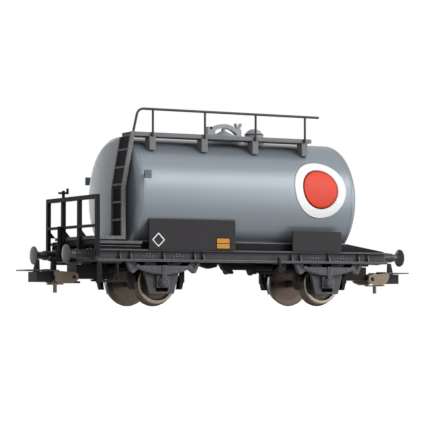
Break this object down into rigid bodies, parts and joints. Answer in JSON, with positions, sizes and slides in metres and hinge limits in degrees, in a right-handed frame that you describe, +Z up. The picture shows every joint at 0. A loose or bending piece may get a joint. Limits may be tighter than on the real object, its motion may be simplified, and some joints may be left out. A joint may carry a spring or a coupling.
{
  "type": "scale model railway tank wagon",
  "caption": "H0 scale model of a two-axle railway tank wagon with end platform, ladder, roof walkway, buffers and loop couplers; wheels roll, couplers swing and loops lift.",
  "frame": {"origin": "middle of the bounding box, at the bottom of the wheel flanges", "axes": "+X along the wagon towards the end without a platform, +Y to the side without the walkway, +Z up"},
  "size_m": [0.1162, 0.0356, 0.0509],
  "materials": {
    "tank_paint": "satin grey",
    "fittings_grey": "satin grey",
    "deck_grey": "matte dark grey",
    "wire_black": "satin black",
    "frame_grey": "matte dark grey",
    "frame_black": "matte black",
    "buffer_black": "satin black",
    "board_black": "matte black",
    "wheel_metal": "darkened metal with a bright tread",
    "coupler_black": "matte black",
    "loop_metal": "browned sheet metal"
  },
  "bodies": {
    "root": {"tank_barrel": "tank_paint", "tank_end_left": "tank_paint", "tank_end_right": "tank_paint", "tank_lamp_irons": "tank_paint", "manhole_lid": "fittings_grey", "manhole_clamp": "fittings_grey", "valve_dome": "fittings_grey", "walkway_deck": "deck_grey", "walkway_brackets": "deck_grey", "walkway_posts": "wire_black", "walkway_handrail": "wire_black", "ladder": "deck_grey", "solebar_near": "frame_grey", "solebar_far": "frame_grey", "headstock_left": "frame_grey", "headstock_right": "frame_grey", "center_sill": "frame_black", "cross_members": "frame_black", "tank_bearers": "frame_black", "tank_saddles": "frame_black", "bearer_braces": "frame_black", "platform_floor": "deck_grey", "platform_side_bars": "frame_grey", "platform_cross_bars": "frame_black", "platform_railing": "frame_black", "brake_spindle": "frame_black", "side_steps": "frame_grey", "drawhooks": "frame_black", "buffer_left_near": "buffer_black", "buffer_left_far": "buffer_black", "buffer_right_near": "buffer_black", "buffer_right_far": "buffer_black", "axle_guard_left_near": "frame_grey", "axle_guard_left_far": "frame_grey", "axle_guard_right_near": "frame_grey", "axle_guard_right_far": "frame_grey", "brake_gear_left": "frame_black", "brake_gear_right": "frame_black", "brake_cylinder": "frame_black", "changeover_levers": "frame_black", "boards_near": "board_black", "boards_far": "board_black", "coupler_pivots": "frame_black"},
    "wheelset_left": {"axle_left": "wheel_metal", "wheels_left": "wheel_metal"},
    "wheelset_right": {"axle_right": "wheel_metal", "wheels_right": "wheel_metal"},
    "coupler_left": {"coupler_shank_left": "coupler_black", "coupler_head_left": "coupler_black"},
    "coupler_right": {"coupler_shank_right": "coupler_black", "coupler_head_right": "coupler_black"},
    "loop_left": {"coupler_loop_left": "loop_metal"},
    "loop_right": {"coupler_loop_right": "loop_metal"}
  },
  "joints": [
    {"name": "wheelset_left_roll", "type": "hinge", "parent": "root", "child": "wheelset_left", "pos_m": [-0.0245, 0, 0.00615], "axis": [0, 1, 0], "continuous": true},
    {"name": "wheelset_right_roll", "type": "hinge", "parent": "root", "child": "wheelset_right", "pos_m": [0.0251, 0, 0.00615], "axis": [0, 1, 0], "continuous": true},
    {"name": "coupler_left_swing", "type": "hinge", "parent": "root", "child": "coupler_left", "pos_m": [-0.0365, 0, 0.0089], "axis": [0, 0, 1], "range_deg": [-10, 10]},
    {"name": "coupler_right_swing", "type": "hinge", "parent": "root", "child": "coupler_right", "pos_m": [0.0365, 0, 0.0089], "axis": [0, 0, 1], "range_deg": [-10, 10]},
    {"name": "loop_left_lift", "type": "hinge", "parent": "coupler_left", "child": "loop_left", "pos_m": [-0.0452, 0, 0.00745], "axis": [0, 1, 0], "range_deg": [0, 15]},
    {"name": "loop_right_lift", "type": "hinge", "parent": "coupler_right", "child": "loop_right", "pos_m": [0.0452, 0, 0.00745], "axis": [0, -1, 0], "range_deg": [0, 15]}
  ]
}
